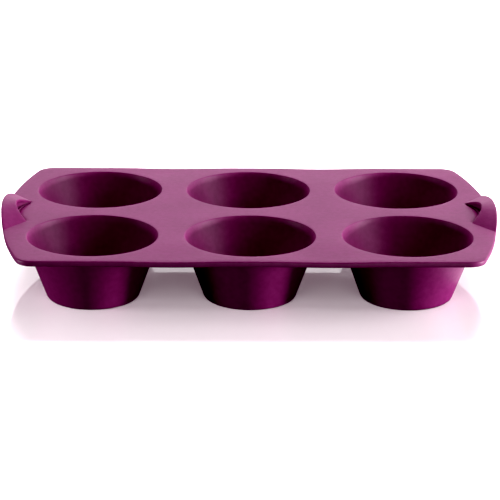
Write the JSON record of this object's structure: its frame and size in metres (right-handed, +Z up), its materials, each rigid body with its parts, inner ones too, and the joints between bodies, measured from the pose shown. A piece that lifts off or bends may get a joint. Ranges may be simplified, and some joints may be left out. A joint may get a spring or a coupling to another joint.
{
  "type": "muffin form",
  "caption": "Flexible silicone muffin baking form: tapered round cups in rows hung from a thin deck, with a thicker rim and a raised bow handle at each short end.",
  "frame": {"origin": "middle of the flat plane that the six cup bases stand on, under the centre of the form", "axes": "+Z up out of the cups, +X along the length from the left handle to the right handle, +Y from the front row to the back row"},
  "size_m": [0.2906, 0.1846, 0.0434],
  "materials": {
    "silicone": "satin"
  },
  "bodies": {
    "root": {"deck": "silicone", "rim_front": "silicone", "rim_back": "silicone", "handle_left": "silicone", "handle_right": "silicone", "cup_front_left": "silicone", "cup_front_middle": "silicone", "cup_front_right": "silicone", "cup_back_left": "silicone", "cup_back_middle": "silicone", "cup_back_right": "silicone"}
  },
  "joints": []
}
